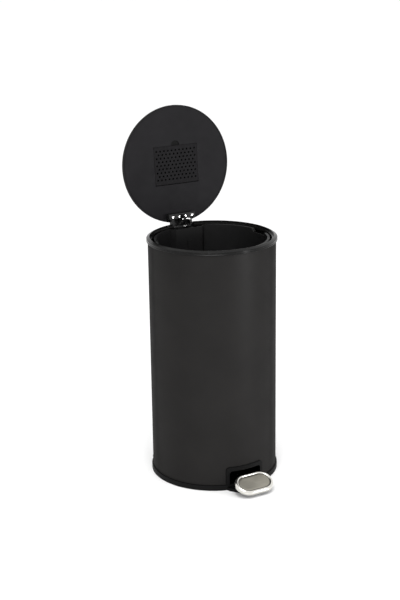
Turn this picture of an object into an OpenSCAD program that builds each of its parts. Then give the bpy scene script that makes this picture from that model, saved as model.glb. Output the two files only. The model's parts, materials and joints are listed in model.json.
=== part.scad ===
// Round pedal bin: steel body, lidded, with a lift-out bucket.
// +Z is up, the origin is on the can's axis at the floor, the pedal points to -Y
// and the lid hinge is at +Y. The rest pose is lid open, pedal down.

/* [Can] */
// Height from the floor to the top of the rim ring
can_h = 566; // [540:1:620]
// Outer radius of the steel body
body_r = 146; // [146:1:146]
// Outer radius of the rim ring and of the base ring
rim_r = 149; // [149:0.5:150]
// Wall thickness of the steel body
shell_t = 0.6; // [0.5:0.1:0.8]
// Height of the base ring
base_h = 12.5; // [12:0.5:13]

/* [Lid] */
// Outer radius of the lid
lid_r = 137.9; // [137:0.1:138]
// Angle between the lid's closed and open positions
lid_open = 95; // [90:1:96]
// Rise of the lid's dome above its edge
lid_dome = 12.5; // [8:0.5:16]

/* [Filter cover] */
// Width of the filter cover
cover_w = 113; // [113:1:113]
// Rows of air holes
hole_rows = 9; // [5:2:9]
// Holes in the longer rows
hole_cols = 11; // [7:1:11]
// Diameter of an air hole
hole_d = 4.5; // [3:0.5:5]

/* [Pedal] */
// Half width of the pedal pad
pad_half_w = 47.4; // [44:0.2:48]
// Half depth of the pedal pad
pad_half_d = 29.4; // [28:0.2:30]
// Forward tilt of the pad when it is pressed
pad_tilt = 24.8; // [22:0.2:25]
// Depth of the pad's skirt
pad_skirt = 8.8; // [8:0.2:9]

/* [Linkage] */
// Distance of the lift rod in front of the hinge axis
rod_a = 14; // [14:0.5:14]
// Diameter of the lift rod
rod_d = 4; // [3.6:0.1:4]
// Depth of the hinge axis below the rim
axis_drop = 10.6; // [10.4:0.1:10.8]

/* [Bucket] */
// Outer radius of the bucket just under its rim
bucket_r = 128; // [126:0.5:128]
// Wall thickness of the bucket
bucket_t = 2; // [1.6:0.1:2.4]

/* [Hidden] */
$fn = 96;

shell_in = body_r - shell_t;
axis_y = 147;
axis_z = can_h - axis_drop;
under_z = axis_z + 7.2;          // lid underside when closed
ang_low = 39;                    // slot angle below level when closed
ang_up = lid_open - ang_low;
rod_y = axis_y - rod_a;
rod_x = 17;
rod_top_z = round(100 * (axis_z + rod_a * tan(ang_up))) / 100;
rod_stroke = rod_a * (tan(ang_up) + tan(ang_low));
pivot_y = -25;
pivot_z = 28.5;
lever_arm = rod_y - pivot_y;
lever_half = atan(rod_stroke / 2 / lever_arm);
rod_low_z = round(100 * (pivot_z + rod_stroke / 2)) / 100;
pad_y = -185.1;
pad_z = 28.5;
bucket_z0 = 62;
bucket_z1 = can_h - 6;

dark = [0.20, 0.19, 0.19];
black = [0.09, 0.09, 0.10];
steel = [0.80, 0.79, 0.76];
grey = [0.45, 0.45, 0.44];

// ---- 2D helpers -------------------------------------------------------

// Points of an arc, from angle a0 to a1
function arc(cx, cy, r, a0, a1, n = 6) =
  [for (i = [0:n]) let(a = a0 + (a1 - a0) * i / n) [cx + r * cos(a), cy + r * sin(a)]];

// Stadium outline along the first axis: half length hl, half width hw
function stadium(hl, hw, n = 24) =
  concat(arc(hl - hw, 0, hw, -90, 90, n), arc(-(hl - hw), 0, hw, 90, 270, n));

// Rectangle from x0 to x1 and y0 to y1 with corner radius r
function rrect(x0, x1, y0, y1, r, n = 6) = concat(
  arc(x1 - r, y1 - r, r, 0, 90, n), arc(x0 + r, y1 - r, r, 90, 180, n),
  arc(x0 + r, y0 + r, r, 180, 270, n), arc(x1 - r, y0 + r, r, 270, 360, n));

module tube(ro, ri, z0, z1) {
  translate([0, 0, z0]) difference() {
    cylinder(r = ro, h = z1 - z0, $fn = 180);
    translate([0, 0, -1]) cylinder(r = ri, h = z1 - z0 + 2, $fn = 180);
  }
}

// Plate whose outline is drawn in the Y-Z plane, from x0 to x1
module yz_plate(x0, x1) {
  translate([x0, 0, 0]) rotate([90, 0, 90]) linear_extrude(x1 - x0) children();
}

// Outline drawn in the X-Z plane, cut through from y0 to y1
module xz_plate(y0, y1) {
  translate([0, y1, 0]) rotate([90, 0, 0]) linear_extrude(y1 - y0) children();
}

// Rod along X
module x_rod(x0, x1, y, z, r) {
  translate([x0, y, z]) rotate([0, 90, 0]) cylinder(r = r, h = x1 - x0, $fn = 48);
}

// Places the lid's parts, drawn closed, in the open position
module on_lid() {
  translate([0, axis_y, axis_z]) rotate([-lid_open, 0, 0])
    translate([0, -axis_y, -axis_z]) children();
}

// Places the pedal lever's parts, drawn level, in the pressed position
module on_lever() {
  translate([0, pivot_y, pivot_z]) rotate([lever_half, 0, 0])
    translate([0, -pivot_y, -pivot_z]) children();
}

module on_pad() {
  translate([0, pad_y, pad_z]) rotate([pad_tilt, 0, 0]) children();
}

// ---- Base and body ----------------------------------------------------

screw_az = [55, 125, 20, 160];   // seen from above, from +X; the back half

module base() {
  color(black) difference() {
    union() {
      // moulded rim that the can stands on
      rotate_extrude($fn = 180) polygon([[138, 0], [148.2, 0], [rim_r, 0.8], [rim_r, 10.8],
        [rim_r - 0.5, 12], [rim_r - 1.7, base_h], [142.2, base_h], [142.2, 4], [138, 4]]);
      // floor
      translate([0, 0, 1]) cylinder(r = 140, h = 3, $fn = 180);
      cylinder(r = 30, h = 2);
      // collar inside the steel body
      tube(shell_in - 0.1, 142.2, 4, 58);
      // foot under the pedal
      linear_extrude(7) polygon([[-47, -138], [-44, -148], [-29, -170], [-25, -173],
        [25, -173], [29, -170], [44, -148], [47, -138]]);
      // lever posts
      for (s = [-1, 1]) {
        yz_plate(s * 18.75 - 2.25, s * 18.75 + 2.25)
          polygon(concat([[pivot_y - 12, 3], [pivot_y + 12, 3]], arc(pivot_y, pivot_z, 8, 0, 180, 12)));
        translate([s * 24.5, pivot_y, 7.5]) cube([9, 3, 10], center = true);
      }
      // bucket rests
      for (x = [-85, 85], y = [-60, 60]) translate([x, y, 3]) cylinder(r = 9, h = bucket_z0 - 3);
    }
    for (x = [-85, 85], y = [-60, 60]) translate([x, y, 6]) cylinder(r = 6.5, h = bucket_z0);
    // way out for the lever
    translate([-46, -150, base_h]) cube([92, 30, 60]);
    x_rod(-30, 30, pivot_y, pivot_z, 3);
    for (i = [0:7]) rotate([0, 0, 22.5 + 45 * i]) translate([143.2, 0, -1]) cylinder(r = 3.6, h = 2.4);
    for (a = screw_az) rotate([0, 0, a]) translate([136, 0, 34]) rotate([0, 90, 0]) cylinder(r = 1.6, h = 12);
  }
}

module anti_slip_pads() {
  color(grey) for (i = [0:7]) rotate([0, 0, 22.5 + 45 * i]) translate([143.2, 0, 0])
    cylinder(r = 3.5, h = 1.4);
}

module outer_shell() {
  color(dark) difference() {
    tube(body_r, shell_in, base_h, can_h - 6);
    // pedal opening
    xz_plate(-160, -120) polygon(rrect(-44.2, 44.2, 0, 51.2, 8));
    // hinge cut-out
    translate([-37.2, 120, can_h - 39]) cube([74.4, 40, 22.4]);
    translate([-notch, 120, can_h - 30]) cube([2 * notch, 40, 60]);
    for (a = screw_az) rotate([0, 0, a]) translate([136, 0, 34]) rotate([0, 90, 0]) cylinder(r = 1.8, h = 14);
    for (x = [-22, 22]) translate([x, 130, can_h - 52]) rotate([-90, 0, 0]) cylinder(r = 2.1, h = 24);
    for (z = guide_z, s = [-1, 1]) translate([rod_x + s * 11, 130, z]) rotate([-90, 0, 0]) cylinder(r = 1.6, h = 24);
  }
}

module base_screws() {
  color(steel) for (a = screw_az) rotate([0, 0, a]) translate([138, 0, 34]) rotate([0, 90, 0]) {
    cylinder(r = 1.55, h = body_r - 138 + 0.4);
    translate([0, 0, body_r - 138 + 0.05]) cylinder(r1 = 3.4, r2 = 2.4, h = 1.5);
  }
}

notch = 27.5;                    // half width of the hinge opening in the rim

// Section of the rim ring, in radius and height
ring_pts = concat(
  [[136.5, can_h - 10], [142.6, can_h - 10], [142.6, can_h - 22], [shell_in - 0.1, can_h - 22],
   [shell_in - 0.1, can_h - 5], [body_r + 0.1, can_h - 5], [body_r + 0.1, can_h - 10.6]],
  arc(rim_r - 1.4, can_h - 9.2, 1.4, -90, 40, 7),
  [[rim_r - 0.9, can_h - 7.6], [rim_r - 0.9, can_h - 5.2]],
  arc(rim_r - 1.5, can_h - 4.2, 1.5, -20, 66, 6),
  arc(141.8, can_h - 0.8, 0.8, 66, 180, 6),
  [[141, can_h - 4.8], [137.1, can_h - 4.8], [136.5, can_h - 5.4]]);

module top_ring() {
  color(black) difference() {
    rotate_extrude($fn = 180) polygon(ring_pts);
    translate([-38, 100, can_h - 40]) cube([76, 60, 23.3]);
    translate([-notch, 100, can_h - 30]) cube([2 * notch, 60, 60]);
  }
}

module pedal_bezel() {
  color(black) difference() {
    union() {
      intersection() {
        tube(rim_r - 0.4, body_r + 0.05, base_h + 0.05, 60);
        xz_plate(-160, -100) polygon(rrect(-48, 48, -10, 55, 8));
      }
      intersection() {
        tube(body_r + 0.06, 141.6, base_h + 0.05, 60);
        xz_plate(-160, -100) polygon(rrect(-43.9, 43.9, -10, 50.9, 7.7));
      }
    }
    xz_plate(-161, -99) polygon(rrect(-40.6, 40.6, -20, 45.4, 7));
  }
}

// ---- Hinge ------------------------------------------------------------

eye_r = 5.5;
pin_r = 2.2;

// Knuckle of the fixed hinge block
module knuckle(x0, x1) {
  x_rod(x0, x1, axis_y, axis_z, eye_r);
  translate([x0, axis_y - eye_r, can_h - 24]) cube([x1 - x0, 2 * eye_r, 24 - axis_drop]);
}

module hinge_mount() {
  color(black) difference() {
    union() {
      // block in the body's cut-out
      translate([-36.4, 139, can_h - 38.6]) cube([72.8, 13.5, 21.8]);
      // flange against the inside of the body
      intersection() {
        tube(shell_in - 0.1, 141.8, can_h - 62, can_h - 26);
        translate([-36.4, 100, can_h - 70]) cube([72.8, 60, 80]);
      }
      knuckle(15.2, 18.9);
      knuckle(-18.9, -15.2);
      knuckle(-13, 4);
      // wall behind the knuckles
      translate([-18.9, 150, can_h - 20]) cube([37.8, 2.5, 9.5]);
    }
    x_rod(-50, 50, axis_y, axis_z, pin_r);
    // room for the lid's slotted ear
    difference() {
      translate([-2.9, 130, can_h - 28.5]) cube([7.6, 16.5, 40]);
      x_rod(-10, 10, axis_y, axis_z, 6.4);
    }
    for (x = [-22, 22]) translate([x, 130, can_h - 52]) rotate([-90, 0, 0]) cylinder(r = 1.8, h = 24);
  }
}

module hinge_mount_screws() {
  color(steel) for (x = [-22, 22]) translate([x, 138, can_h - 52]) rotate([-90, 0, 0]) {
    cylinder(r = 1.75, h = 7.4);
    translate([0, 0, 7.3]) cylinder(r = 1.75, h = 1);
    translate([0, 0, 8.1]) cylinder(r1 = 3.8, r2 = 2.8, h = 1.6);
  }
}

module hinge_pin() {
  color(steel) x_rod(-26.7, 26.7, axis_y, axis_z, pin_r);
}

module pin_clips() {
  color(grey) for (x = [-20.25, 18.95]) difference() {
    x_rod(x, x + 1.3, axis_y, axis_z, 4);
    x_rod(x - 1, x + 3, axis_y, axis_z, pin_r);
  }
}

guide_z = [110, 440];

module rod_guides() {
  color(black) for (z = guide_z) difference() {
    union() {
      intersection() {
        tube(shell_in - 0.1, 142, z - 7, z + 7);
        translate([rod_x - 16, 100, z - 10]) cube([32, 60, 20]);
      }
      translate([rod_x - 5, 129.4, z - 6]) cube([10, 14, 12]);
    }
    translate([rod_x, rod_y, z - 20]) cylinder(r = rod_d / 2 + 0.08, h = 40);
    for (s = [-1, 1]) translate([rod_x + s * 11, 130, z]) rotate([-90, 0, 0]) cylinder(r = 1.5, h = 24);
  }
}

module guide_rivets() {
  color(steel) for (z = guide_z, s = [-1, 1])
    let(x = rod_x + s * 11, yo = sqrt(body_r * body_r - x * x))
    translate([x, 139, z]) rotate([-90, 0, 0]) {
      cylinder(r = 1.45, h = yo - 139 + 1);
      translate([0, 0, yo - 139 + 0.75]) cylinder(r1 = 3, r2 = 1.8, h = 1.1);
    }
}

// ---- Lid, drawn closed --------------------------------------------------

cover_y0 = -44;
cover_y1 = 45;
cover_axis_y = 44;
cover_axis_z = under_z + 2;
cap_t = 0.6;

cap_top = under_z + 10;
cap_r2 = (pow(lid_r - 6, 2) + pow(lid_dome, 2)) / (2 * lid_dome);
cap_a = asin((lid_r - 6) / cap_r2);

module lid_cap() {
  on_lid() color(dark) rotate_extrude($fn = 180) polygon(concat(
    [[lid_r - cap_t, under_z - 0.6], [lid_r, under_z - 0.6]],
    arc(lid_r - 6, cap_top - 6, 6, 0, 90 - cap_a, 8),
    [for (i = [1:10]) let(a = cap_a * (1 - i / 10)) [cap_r2 * sin(a), cap_top + lid_dome - cap_r2 * (1 - cos(a))]],
    [for (i = [0:9]) let(a = cap_a * i / 10) [(cap_r2 - cap_t) * sin(a), cap_top + lid_dome - cap_t - (cap_r2 - cap_t) * (1 - cos(a))]],
    arc(lid_r - 6, cap_top - 6, 6 - cap_t, 90 - cap_a, 0, 8)));
}

module cover_outline(g) {
  polygon(rrect(-cover_w / 2 - g, cover_w / 2 + g, cover_y0 - g, cover_y1 + g, 4 + g));
}

module lid_liner() {
  on_lid() color(black) difference() {
    union() {
      translate([0, 0, under_z]) cylinder(r = lid_r - 0.8, h = 2.6, $fn = 180);
      // edge flange behind the cap
      tube(lid_r - 0.8, lid_r - 3.2, under_z + 1, under_z + 4);
      // filter box
      translate([-cover_w / 2 - 2.4, cover_y0 - 2.4, under_z + 1]) cube([cover_w + 4.8, cover_y1 - cover_y0 + 6, 12.4]);
      for (x = [-25.2, -8, 8, 25.2]) translate([x, block_y0 + 7, under_z + 1]) cylinder(r = 4, h = 7);
    }
    translate([-cover_w / 2 - 0.6, cover_y0 - 0.6, under_z - 1]) cube([cover_w + 1.2, cover_y1 - cover_y0 + 2.2, 12.9]);
    // groove near the edge
    difference() {
      translate([0, 0, under_z - 1]) cylinder(r = 134.6, h = 1.7, $fn = 180);
      translate([0, 0, under_z - 2]) cylinder(r = 133.6, h = 4, $fn = 180);
    }
    // thumb recess
    translate([0, 0, under_z - 1]) linear_extrude(2.6) polygon(concat([[11, cover_y0 + 3], [-11, cover_y0 + 3]],
      arc(0, cover_y0 - 1, 11, 180, 360, 16)));
    // cover pivots
    x_rod(-cover_w / 2 - 1.9, cover_w / 2 + 1.9, cover_axis_y, cover_axis_z, 0.95);
    for (x = [-25.2, -8, 8, 25.2]) translate([x, block_y0 + 7, under_z - 1]) cylinder(r = 1.6, h = 7);
  }
}

module charcoal_filter() {
  on_lid() color(grey) translate([-52, -40, under_z + 3.6]) cube([104, 80, 8.3]);
}

module filter_cover() {
  on_lid() color(black) difference() {
    union() {
      translate([0, 0, under_z]) linear_extrude(2.6) cover_outline(0);
      x_rod(-cover_w / 2 - 1.7, cover_w / 2 + 1.7, cover_axis_y, cover_axis_z, 0.9);
    }
    for (j = [0:hole_rows - 1])
      let(n = hole_cols - (j % 2))
      for (i = [0:n - 1])
        translate([(i - (n - 1) / 2) * 10, (j - (hole_rows - 1) / 2) * 8.4, under_z - 1])
          cylinder(r = hole_d / 2, h = 5, $fn = 24);
  }
}

// Straight slot of the lid's ear: the rod's pin slides from slot_r0 to slot_r1
slot_r0 = rod_a;
slot_r1 = rod_a / cos(ang_up) + 1;
slot_off = 1.61;                 // mean offset of the pin above the slot's radial line
slot_hw = rod_d / 2 + 2.1;
block_y0 = 114.4;
block_y1 = 126.4;
block_h = 15;

module slot_shape(extra) {
  translate([axis_y, axis_z]) rotate(180 + ang_low) translate([0, -slot_off])
    translate([(slot_r0 + slot_r1) / 2, 0])
      polygon(stadium((slot_r1 - slot_r0) / 2 + rod_d / 2 + 0.6 + extra, slot_hw + extra));
}

module lid_hinge_bracket() {
  on_lid() color(black) difference() {
    union() {
      translate([-34, block_y0, under_z - block_h]) cube([68, block_y1 - block_y0, block_h]);
      for (s = [-1, 1]) {
        yz_plate(s * 23.65 - 3.15, s * 23.65 + 3.15)
          polygon([[118, under_z], [133.2, under_z], [axis_y + 1.5, axis_z + 5.29],
            [axis_y, axis_z], [axis_y - 0.5, axis_z - 5.47], [118, axis_z - 5.0]]);
        x_rod(s * 23.65 - 3.15, s * 23.65 + 3.15, axis_y, axis_z, eye_r);
      }
      // hood over the knuckles
      yz_plate(-21, 21) polygon(concat([[block_y1 - 1, under_z], [133.2, under_z], [135.4, under_z - 1]],
        arc(axis_y, axis_z, 8, 129, 96, 8), arc(axis_y, axis_z, 6.4, 96, 140, 8),
        [[135.4, under_z - 2.6], [block_y1 - 1, under_z - 2.6]]));
      yz_plate(-2, 3.5) {
        slot_shape(3.4);
        polygon([[block_y0 + 2, under_z - block_h + 0.5], [block_y1, under_z - 2], [131, axis_z - 2],
          [133, axis_z - 8], [124, axis_z - 16], [118, axis_z - 14]]);
      }
    }
    for (s = [-1, 1]) x_rod(s * 24 - 5, s * 24 + 5, axis_y, axis_z, pin_r + 0.05);
    yz_plate(-3, 4.5) slot_shape(0);
    for (x = [-25.2, -8, 8, 25.2]) translate([x, block_y0 + 7, under_z - 20]) cylinder(r = 1.8, h = 30);
  }
}

module lid_bracket_screws() {
  on_lid() color(steel) for (x = [-25.2, -8, 8, 25.2]) translate([x, block_y0 + 7, under_z - block_h]) {
    cylinder(r = 1.55, h = block_h + 5.6);
    translate([0, 0, -2]) cylinder(r1 = 2.4, r2 = 3.4, h = 2);
  }
}

// ---- Lift rod -------------------------------------------------------------

module bend(x, z, a0) {
  translate([x, rod_y, z]) rotate([90, 0, 0]) rotate([0, 0, a0])
    rotate_extrude(angle = 90, $fn = 96) translate([5, 0]) circle(r = rod_d / 2, $fn = 48);
}

module lift_rod() {
  color(steel) {
    translate([rod_x, rod_y, rod_low_z + 5]) cylinder(r = rod_d / 2, h = rod_top_z - rod_low_z - 10, $fn = 48);
    bend(rod_x - 5, rod_top_z - 5, 0);
    bend(rod_x - 5, rod_low_z + 5, -90);
    x_rod(-5.6, rod_x - 5, rod_y, rod_top_z, rod_d / 2);
    x_rod(1, rod_x - 5, rod_y, rod_low_z, rod_d / 2);
  }
}

module rod_clips() {
  color(grey) {
    difference() {
      x_rod(-4.4, -3.2, rod_y, rod_top_z, 3.2);
      x_rod(-6, 0, rod_y, rod_top_z, rod_d / 2);
    }
    difference() {
      x_rod(2.2, 3.6, rod_y, rod_low_z, 4);
      x_rod(0, 6, rod_y, rod_low_z, rod_d / 2);
    }
  }
}

// ---- Pedal ------------------------------------------------------------------

module pedal_lever() {
  on_lever() color(steel) difference() {
    union() {
      translate([-12, -196, pivot_z - 2]) cube([24, 196 + 122, 4]);
      x_rod(-15.5, 15.5, pivot_y, pivot_z, 8);
      // lug for the lift rod
      yz_plate(4.5, 9.5) polygon(concat([[112, pivot_z - 6], [pivot_y + lever_arm, pivot_z - 6]],
        arc(pivot_y + lever_arm + 0.4, pivot_z, 6, -90, 90, 16), [[112, pivot_z + 6]]));
    }
    x_rod(-20, 20, pivot_y, pivot_z, 5);
    yz_plate(3, 11) translate([pivot_y + lever_arm + 0.43, pivot_z])
      polygon(stadium(rod_d / 2 + 0.8, rod_d / 2 + 0.25));
    for (y = [-178, -189]) translate([0, y, pivot_z - 5]) cylinder(r = 1.9, h = 10);
  }
}

module lever_bush() {
  on_lever() color(grey) difference() {
    x_rod(-16, 16, pivot_y, pivot_z, 5);
    x_rod(-20, 20, pivot_y, pivot_z, 3.05);
  }
}

module lever_axle() {
  color(steel) x_rod(-24, 24, pivot_y, pivot_z, 3);
}

module axle_clips() {
  color(grey) for (x = [-22.6, 21.2]) difference() {
    x_rod(x, x + 1.4, pivot_y, pivot_z, 5.5);
    x_rod(x - 1, x + 3, pivot_y, pivot_z, 3);
  }
}

// Stadium prism of the pad, inset by g, from n0 to n1 along the pad's normal
module pad_prism(g, n0, n1) {
  translate([0, 0, n0]) linear_extrude(n1 - n0) polygon(stadium(pad_half_w - g, pad_half_d - g));
}

module pedal_pad() {
  color(steel) on_pad() difference() {
    pad_prism(0, -pad_skirt, 0);
    pad_prism(8.2, -1.6, 1);
    pad_prism(1.2, -pad_skirt - 1, -1.2 - 1.6);
    difference() {
      pad_prism(1.2, -4, -1.2);
      pad_prism(7, -5, 0);
    }
  }
}

module pedal_carrier() {
  color(black) difference() {
    union() {
      on_pad() pad_prism(1.3, -pad_skirt - 0.9, -2.9);
      intersection() {
        on_pad() translate([-17, -18, -34]) cube([34, 40, 31]);
        on_lever() translate([-20, -230, pivot_z + 2]) cube([40, 100, 60]);
      }
    }
    on_lever() {
      for (y = [-178, -189]) translate([0, y, pivot_z]) cylinder(r = 1.6, h = 9);
      translate([-12, -196, pivot_z - 6]) cube([24, 60, 8]);
    }
  }
}

module pedal_screws() {
  on_lever() color(steel) for (y = [-178, -189]) translate([0, y, pivot_z]) {
    translate([0, 0, -2.2]) cylinder(r = 1.55, h = 9);
    translate([0, 0, -3.6]) cylinder(r1 = 2.6, r2 = 3.6, h = 1.6);
  }
}

// ---- Bucket -----------------------------------------------------------------

// Room behind the bucket for the hinge and the rod
module channel(g) {
  polygon([[-34 - 0.41 * g, 109.5 - g], [34 + 0.41 * g, 109.5 - g],
    [84 + 0.41 * g, 159.5 - g], [84, 190], [-84, 190], [-84 - 0.41 * g, 159.5 - g]]);
}

module inner_bucket() {
  z0 = bucket_z0;
  z1 = bucket_z1;
  color(black) difference() {
    union() {
      translate([0, 0, z0]) cylinder(r1 = bucket_r - 6, r2 = bucket_r, h = z1 - z0, $fn = 180);
      translate([0, 0, z1 - 2]) cylinder(r = 131.6, h = 2, $fn = 180);
      tube(131.6, bucket_r - 1, z1 - 7, z1);
    }
    difference() {
      translate([0, 0, z0 + 3]) cylinder(r1 = bucket_r - 6 - bucket_t, r2 = bucket_r - bucket_t, h = z1 - z0, $fn = 180);
      translate([0, 0, z0]) linear_extrude(z1) channel(bucket_t);
      // stiffening rib on the channel wall
      translate([-4.3, 105.9, z0]) cube([8.6, 4, z1 - z0 - 30]);
    }
    translate([0, 0, z0 - 1]) linear_extrude(z1) channel(0);
    // room under the rim's lip
    tube(129.9, bucket_r + 0.2, z1 - 8, z1 - 2);
    // finger notches
    for (s = [-1, 1]) yz_plate(s * 128 - 14, s * 128 + 14)
      polygon([[-22, z1 - 8], [22, z1 - 8], [29, z1 + 1], [-29, z1 + 1]]);
  }
}

base();
anti_slip_pads();
outer_shell();
base_screws();
top_ring();
pedal_bezel();
hinge_mount();
hinge_mount_screws();
hinge_pin();
pin_clips();
rod_guides();
guide_rivets();
lever_axle();
axle_clips();
lid_cap();
lid_liner();
charcoal_filter();
filter_cover();
lid_hinge_bracket();
lid_bracket_screws();
lift_rod();
rod_clips();
pedal_lever();
lever_bush();
pedal_carrier();
pedal_pad();
pedal_screws();
inner_bucket();
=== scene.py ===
import bpy, bmesh, json, math
from mathutils import Vector, Matrix


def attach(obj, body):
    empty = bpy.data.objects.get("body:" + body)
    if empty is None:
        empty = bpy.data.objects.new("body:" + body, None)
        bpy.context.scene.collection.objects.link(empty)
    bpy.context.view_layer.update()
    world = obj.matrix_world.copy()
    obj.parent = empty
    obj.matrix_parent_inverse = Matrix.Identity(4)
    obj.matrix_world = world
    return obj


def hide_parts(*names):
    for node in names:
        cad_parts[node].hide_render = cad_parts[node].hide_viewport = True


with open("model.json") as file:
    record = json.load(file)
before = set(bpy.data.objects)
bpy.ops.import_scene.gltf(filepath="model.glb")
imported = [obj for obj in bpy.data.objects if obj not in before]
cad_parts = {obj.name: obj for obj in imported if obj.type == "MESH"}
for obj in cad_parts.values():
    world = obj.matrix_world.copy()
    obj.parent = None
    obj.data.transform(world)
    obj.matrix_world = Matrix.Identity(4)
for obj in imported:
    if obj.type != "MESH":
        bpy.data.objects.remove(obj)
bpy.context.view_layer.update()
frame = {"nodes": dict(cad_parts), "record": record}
N = frame["nodes"]

# ------------------------------------------------------------------ materials

def new_mat(name):
    m = bpy.data.materials.new(name)
    m.use_nodes = True
    nt = m.node_tree
    nt.nodes.clear()
    out = nt.nodes.new("ShaderNodeOutputMaterial")
    bsdf = nt.nodes.new("ShaderNodeBsdfPrincipled")
    nt.links.new(bsdf.outputs[0], out.inputs[0])
    return m, nt, bsdf


def node(nt, kind, **vals):
    n = nt.nodes.new(kind)
    for k, v in vals.items():
        if hasattr(n, k):
            setattr(n, k, v)
        else:
            n.inputs[k.replace("_", " ")].default_value = v
    return n


def ramp(nt, src, stops):
    r = nt.nodes.new("ShaderNodeValToRGB")
    el = r.color_ramp.elements
    while len(el) < len(stops):
        el.new(0.5)
    for e, (p, c) in zip(el, stops):
        e.position = p
        e.color = c if len(c) == 4 else (*c, 1)
    nt.links.new(src, r.inputs[0])
    return r


def coords(nt, scale=(1, 1, 1), rot=(0, 0, 0)):
    tc = nt.nodes.new("ShaderNodeTexCoord")
    mp = nt.nodes.new("ShaderNodeMapping")
    mp.inputs["Scale"].default_value = scale
    mp.inputs["Rotation"].default_value = rot
    nt.links.new(tc.outputs["Object"], mp.inputs[0])
    return mp.outputs[0]


def noise(nt, vec, scale, detail=4, rough=0.55):
    n = nt.nodes.new("ShaderNodeTexNoise")
    n.inputs["Scale"].default_value = scale
    n.inputs["Detail"].default_value = detail
    n.inputs["Roughness"].default_value = rough
    nt.links.new(vec, n.inputs["Vector"])
    return n


def bump(nt, bsdf, height, strength, dist, prev=None):
    b = nt.nodes.new("ShaderNodeBump")
    b.inputs["Strength"].default_value = strength
    b.inputs["Distance"].default_value = dist
    nt.links.new(height, b.inputs["Height"])
    if prev is not None:
        nt.links.new(prev.outputs[0], b.inputs["Normal"])
    nt.links.new(b.outputs[0], bsdf.inputs["Normal"])
    return b


def g(v, a=1):
    return (v, v, v, a)


def facing_spec(nt, bsdf, face, edge):
    """Specular level that falls off towards grazing angles."""
    lw = nt.nodes.new("ShaderNodeLayerWeight")
    lw.inputs["Blend"].default_value = 0.35
    r = ramp(nt, lw.outputs["Facing"], [(0.0, g(face)), (0.25, g(face * 0.6 + edge * 0.4)), (0.5, g(face * 0.08 + edge * 0.92)), (0.8, g(edge))])
    nt.links.new(r.outputs[0], bsdf.inputs["Specular IOR Level"])


def mat_paint():
    """Satin charcoal paint on steel: fine orange peel, faint mottling and handling marks."""
    m, nt, b = new_mat("satin_charcoal_paint")
    v = coords(nt)
    n1 = noise(nt, v, 9, 3)
    c = ramp(nt, n1.outputs[0], [(0.3, (0.0082, 0.0076, 0.0074)), (0.7, (0.0108, 0.0100, 0.0097))])
    nt.links.new(c.outputs[0], b.inputs["Base Color"])
    n2 = noise(nt, v, 38, 5, 0.62)
    r = ramp(nt, n2.outputs[0], [(0.3, g(0.40)), (0.7, g(0.48))])
    nt.links.new(r.outputs[0], b.inputs["Roughness"])
    n3 = noise(nt, v, 900, 2)
    n4 = noise(nt, v, 5, 1)
    b1 = bump(nt, b, n4.outputs[0], 0.25, 0.0006)
    bump(nt, b, n3.outputs[0], 0.10, 0.0002, b1)
    facing_spec(nt, b, 0.145, 0.004)
    return m


def mat_plastic(name, c0, c1, r0, r1, grain=1400, bs=0.25, spec=0.5, edge=None):
    m, nt, b = new_mat(name)
    v = coords(nt)
    n1 = noise(nt, v, 14, 3)
    c = ramp(nt, n1.outputs[0], [(0.3, c0), (0.7, c1)])
    nt.links.new(c.outputs[0], b.inputs["Base Color"])
    n2 = noise(nt, v, 70, 4)
    r = ramp(nt, n2.outputs[0], [(0.3, g(r0)), (0.7, g(r1))])
    nt.links.new(r.outputs[0], b.inputs["Roughness"])
    vo = nt.nodes.new("ShaderNodeTexVoronoi")
    vo.inputs["Scale"].default_value = grain
    nt.links.new(v, vo.inputs["Vector"])
    n3 = noise(nt, v, grain * 0.7, 2)
    b1 = bump(nt, b, vo.outputs["Distance"], bs, 0.00010)
    bump(nt, b, n3.outputs[0], bs, 0.00008, b1)
    if edge is None:
        b.inputs["Specular IOR Level"].default_value = spec
    else:
        facing_spec(nt, b, spec, edge)
    return m


def mat_metal(name, col, r0, r1, stretch=(1, 1, 1), lines=400, bs=0.1, aniso=0.0):
    m, nt, b = new_mat(name)
    b.inputs["Metallic"].default_value = 1.0
    v = coords(nt, stretch)
    n1 = noise(nt, v, lines, 5, 0.6)
    c = ramp(nt, n1.outputs[0], [(0.25, tuple(x * 0.88 for x in col)), (0.75, tuple(min(1, x * 1.06) for x in col))])
    nt.links.new(c.outputs[0], b.inputs["Base Color"])
    r = ramp(nt, n1.outputs[0], [(0.25, g(r0)), (0.75, g(r1))])
    nt.links.new(r.outputs[0], b.inputs["Roughness"])
    bump(nt, b, n1.outputs[0], bs, 0.0001)
    b.inputs["Anisotropic"].default_value = aniso
    return m


PAINT = mat_paint()
def paint_recess_shade(m, obj, centre, radius):
    """Paints near-black shade into the finger recess of the liner, standing in for the shadow of its opening; the spot
    is found by its place on the piece.
    """
    nt = m.node_tree
    b = next(n for n in nt.nodes if n.type == "BSDF_PRINCIPLED")
    old = b.inputs["Base Color"].links[0].from_socket
    tc = nt.nodes.new("ShaderNodeTexCoord")
    d = nt.nodes.new("ShaderNodeVectorMath")
    d.operation = "DISTANCE"
    d.inputs[1].default_value = obj.matrix_world.inverted() @ Vector(centre)
    nt.links.new(tc.outputs["Object"], d.inputs[0])
    s = nt.nodes.new("ShaderNodeMapRange")
    s.inputs["From Min"].default_value = radius - 0.0004
    s.inputs["From Max"].default_value = radius
    nt.links.new(d.outputs["Value"], s.inputs["Value"])
    mix = nt.nodes.new("ShaderNodeMix")
    mix.data_type = "RGBA"
    nt.links.new(s.outputs[0], mix.inputs["Factor"])
    src = [i for i in mix.inputs if i.type == "RGBA"]
    dst = [o for o in mix.outputs if o.type == "RGBA"]
    # near-black painted shade inside the recess circle
    src[0].default_value = (0.0008, 0.0008, 0.0008, 1)
    nt.links.new(old, src[1])
    nt.links.new(dst[0], b.inputs["Base Color"])


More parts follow.
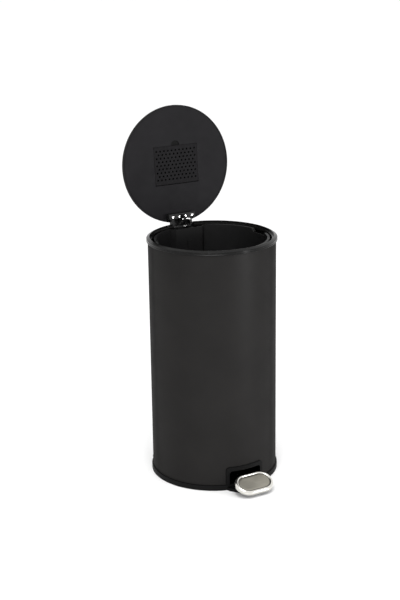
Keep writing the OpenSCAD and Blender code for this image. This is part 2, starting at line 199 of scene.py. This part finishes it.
BLACK = mat_plastic("black_moulded_plastic", (0.0055, 0.0055, 0.0057), (0.0080, 0.0078, 0.0080), 0.40, 0.50, 1400, 0.18, 0.28, 0.10)
GLOSS = mat_plastic("black_satin_rim", (0.0045, 0.0045, 0.0045), (0.0065, 0.0063, 0.0062), 0.13, 0.20, 900, 0.05, 0.13)
LINER = mat_plastic("liner_plastic", (0.0068, 0.0064, 0.0074), (0.0088, 0.0083, 0.0095), 0.50, 0.58, 1800, 0.08, 0.10, 0.02)
COVER = mat_plastic("filter_cover_plastic", (0.0056, 0.0053, 0.0060), (0.0074, 0.0070, 0.0078), 0.48, 0.56, 1800, 0.08, 0.07, 0.02)
DEEP = mat_plastic("black_base_plastic", (0.0022, 0.0022, 0.0023), (0.0036, 0.0035, 0.0036), 0.40, 0.50, 1400, 0.16, 0.11, 0.03)
OXIDE = mat_metal("black_oxide_steel", (0.022, 0.021, 0.021), 0.36, 0.46, (1, 1, 1), 600, 0.06)
SKIRT = mat_metal("stainless_skirt", (0.60, 0.59, 0.55), 0.16, 0.24, (0.15, 1, 1), 500, 0.05)
# dark metal for the pad's groove: painted shade in the crease of the one pressed-steel pad
GROOVE_SHADE = mat_metal("painted_groove_shade", (0.10, 0.095, 0.085), 0.35, 0.45, (0.2, 1, 1), 600, 0.05)
GREY = mat_plastic("grey_plastic", (0.16, 0.16, 0.16), (0.2, 0.2, 0.2), 0.4, 0.5)
RUBBER = mat_plastic("rubber", (0.02, 0.02, 0.02), (0.03, 0.03, 0.03), 0.7, 0.85, 700, 0.4)
FOAM = mat_plastic("carbon_foam", (0.0010, 0.0010, 0.0010), (0.0022, 0.0022, 0.0022), 0.8, 0.95, 350, 0.8, 0.03)
STEEL = mat_metal("brushed_stainless", (0.60, 0.575, 0.53), 0.26, 0.38, (0.06, 1, 1), 700, 0.12, 0.5)
BRIGHT = mat_metal("zinc_plated_steel", (0.78, 0.78, 0.77), 0.14, 0.24, (1, 1, 1), 500, 0.06)
POLISHED = mat_metal("polished_stainless", (0.76, 0.745, 0.70), 0.10, 0.17, (0.15, 1, 1), 500, 0.03)
BRUSHED = mat_metal("brushed_pad_centre", (0.30, 0.285, 0.245), 0.34, 0.46, (0.04, 1, 1), 900, 0.16, 0.4)

BY_SLOT = {"dark_steel": PAINT, "black_plastic": BLACK, "gloss_black": GLOSS, "grey_plastic": GREY,
           "stainless": STEEL, "bright_steel": BRIGHT, "rubber_pad": RUBBER, "carbon_foam": FOAM}
OWN = {"lid_liner": LINER, "filter_cover": COVER, "base": DEEP, "pedal_bezel": DEEP, "pedal_carrier": DEEP,
       "base_screws": OXIDE, "guide_rivets": OXIDE, "hinge_mount_screws": OXIDE}
for sp in frame["record"]["subparts"]:
    o = N[sp["node"]]
    m = OWN.get(sp["node"], BY_SLOT[sp["material_slot"]])
    for s in o.material_slots:
        s.material = m

# centre of the painted recess shade, turned with the lid from closed to open about the hinge axis
turn = Matrix.Rotation(math.radians(-95), 3, "X")
axis = Vector((0, 0.147, 0.5554))
paint_recess_shade(LINER, N["lid_liner"], axis + turn @ (Vector((0, -0.045, 0.5642)) - axis), 0.0112)

# ------------------------------------------------------------------ softened edges

BEVELS = {"hinge_mount": 0.0006, "lid_hinge_bracket": 0.0006, "pedal_bezel": 0.0005,
          "pedal_lever": 0.0004, "pedal_carrier": 0.0006, "base": 0.0005, "rod_guides": 0.0005,
          "filter_cover": 0.0007}
for name, width in BEVELS.items():
    b = N[name].modifiers.new("soft_edges", "BEVEL")
    b.width = width
    b.segments = 2
    b.limit_method = "ANGLE"
    b.angle_limit = math.radians(50)
    b.use_clamp_overlap = True
    b.harden_normals = False

# ------------------------------------------------------------------ pedal pad

PAD_Y, PAD_Z, PAD_TILT = -0.1851, 0.0285, math.radians(24.8)
PAD_L, PAD_W = 0.0474, 0.0294


def stadium(inset, n=28):
    """Outline of the pad, moved in by inset, as x and y in the pad's plane."""
    r = PAD_W - inset
    c = PAD_L - PAD_W
    pts = []
    for side in (1, -1):
        for i in range(n + 1):
            a = math.radians(-90 + 180 * i / n) + (0 if side == 1 else math.pi)
            pts.append((side * c + r * math.cos(a), r * math.sin(a)))
    return pts


def pad_mesh():
    """Pressed steel pad: rolled rim, recessed brushed centre, skirt and open back."""
    top = [(14.0, -1.62), (9.7, -1.66), (9.2, -1.95), (8.7, -2.05), (8.3, -1.75), (8.0, -1.2), (7.5, -0.62),
           (6.8, -0.22), (6.0, -0.03)]
    shoulder = [(6 - 6 * math.sin(math.radians(a)), -6 + 6 * math.cos(math.radians(a))) for a in range(8, 91, 8)]
    skirt = [(0.0, -6.4), (0.0, -8.3), (0.12, -8.66), (0.4, -8.8), (0.85, -8.8), (1.1, -8.6), (1.2, -8.2),
             (1.2, -3.6), (1.35, -2.95), (1.9, -2.78), (6.0, -2.78), (14.0, -2.78)]
    rings = [(x * 1e-3, z * 1e-3) for x, z in top + shoulder + skirt]
    bm = bmesh.new()
    loops = []
    groove_end = len(top) + 8
    for inset, z in rings:
        loops.append([bm.verts.new((x, y, z)) for x, y in stadium(inset)])
    k = len(loops[0])
    for a in range(len(loops) - 1):
        for i in range(k):
            f = bm.faces.new((loops[a][i], loops[a + 1][i], loops[a + 1][(i + 1) % k], loops[a][(i + 1) % k]))
            f.smooth = True
            # index 2 puts the painted groove shade on the dip between the centre and the rim
            f.material_index = 1 if a < 1 else 2 if a < 5 else 0 if a < groove_end else 3
    f = bm.faces.new(loops[0])
    f.material_index = 1
    bm.faces.new(list(reversed(loops[-1])))
    bmesh.ops.recalc_face_normals(bm, faces=bm.faces)
    me = bpy.data.meshes.new("pedal_pad_pressed")
    bm.to_mesh(me)
    bm.free()
    me.transform(Matrix.Translation((0, PAD_Y, PAD_Z)) @ Matrix.Rotation(PAD_TILT, 4, "X"))
    me.materials.append(POLISHED)
    me.materials.append(BRUSHED)
    me.materials.append(GROOVE_SHADE)
    me.materials.append(SKIRT)
    o = bpy.data.objects.new("pedal_pad_pressed", me)
    bpy.context.scene.collection.objects.link(o)
    return o


pad = pad_mesh()
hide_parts("pedal_pad")
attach(pad, "pedal")

# ------------------------------------------------------------------ stage

floor = bpy.data.meshes.new("floor")
floor.from_pydata([(-150, -150, 0), (150, -150, 0), (150, 150, 0), (-150, 150, 0)], [], [(0, 1, 2, 3)])
fo = bpy.data.objects.new("floor", floor)
bpy.context.scene.collection.objects.link(fo)
fm, fnt, fb = new_mat("pale_floor")
fb.inputs["Base Color"].default_value = (0.97, 0.97, 0.97, 1)
fb.inputs["Roughness"].default_value = 0.6
floor.materials.append(fm)

sc = bpy.context.scene
sc.view_settings.view_transform = "Standard"
w = bpy.data.worlds.new("studio")
sc.world = w
w.use_nodes = True
bg = w.node_tree.nodes.get("Background") or w.node_tree.nodes.new("ShaderNodeBackground")
bg.inputs[0].default_value = (1, 1, 1, 1)
bg.inputs[1].default_value = 1.06


def area(name, loc, target, size, power, size_y=None):
    l = bpy.data.lights.new(name, "AREA")
    l.energy = power
    l.size = size
    if size_y:
        l.shape = "RECTANGLE"
        l.size_y = size_y
    o = bpy.data.objects.new(name, l)
    sc.collection.objects.link(o)
    o.location = loc
    o.rotation_mode = "QUATERNION"
    o.rotation_quaternion = (Vector(target) - Vector(loc)).to_track_quat("-Z", "Y")
    return o


area("key", (-1.2, -1.4, 3.0), (0, 0, 0.3), 1.8, 22)
area("floor_fill", (-0.5, -1.0, 2.2), (-0.35, -0.65, 0), 1.0, 16)
area("strip", (1.3, -2.2, 0.35), (0, 0, 0.2), 0.35, 26, 1.3)

# ------------------------------------------------------------------ camera

cam = bpy.data.cameras.new("camera")
cam.sensor_width = 36
cam.lens = 1305.4 * 36 / 600
cam.clip_start, cam.clip_end = 0.05, 400
co = bpy.data.objects.new("camera", cam)
sc.collection.objects.link(co)
sc.camera = co
right = Vector((0.8752, -0.4836, -0.0141))
up = Vector((0.1531, 0.2492, 0.9563))
back = Vector((-0.4589, -0.8391, 0.2921))
rot = Matrix((right, up, back)).transposed()
co.matrix_world = Matrix.Translation(Vector((-1.4060, -2.5104, 1.2906))) @ rot.to_4x4()
